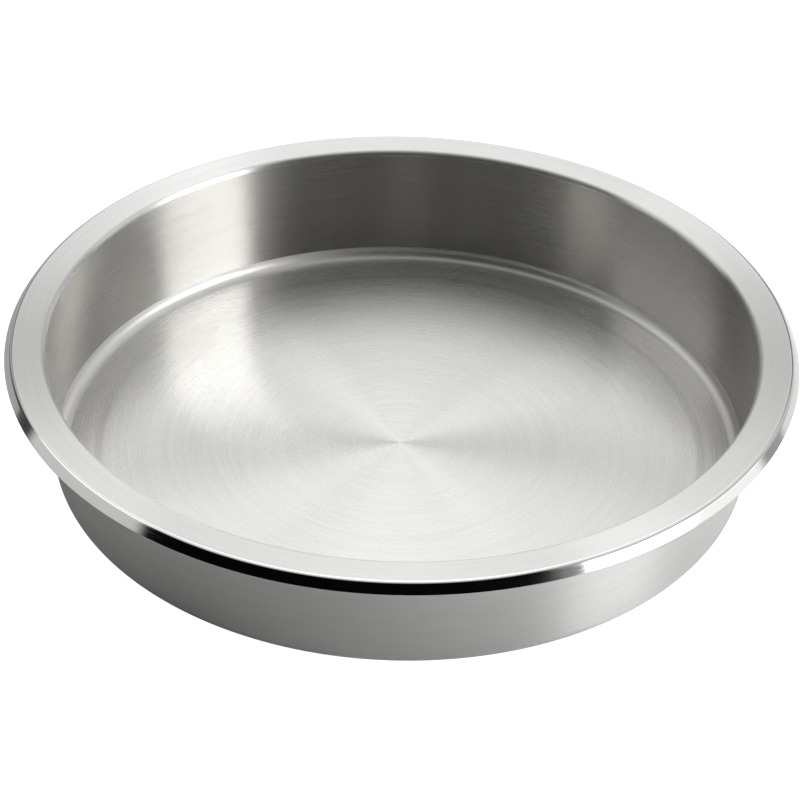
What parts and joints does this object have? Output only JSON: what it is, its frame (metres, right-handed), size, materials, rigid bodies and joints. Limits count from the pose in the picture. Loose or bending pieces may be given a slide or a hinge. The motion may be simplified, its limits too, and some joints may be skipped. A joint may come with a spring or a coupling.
{
  "type": "food pan",
  "caption": "Round shallow stainless-steel food pan with a wide flat flange and a polished turned-down lip, made to drop into a chafing dish.",
  "frame": {"origin": "middle of the ring that the pan stands on, on the pan's axis", "axes": "+Z along the pan's axis, up out of its mouth; the pan is round, so X and Y are any two level directions at right angles"},
  "size_m": [0.39, 0.39, 0.065],
  "materials": {
    "stainless_steel": "round-brushed inside, satin flange and outside, mirror-polished lip"
  },
  "bodies": {
    "root": {"food_pan": "stainless_steel"}
  },
  "joints": []
}
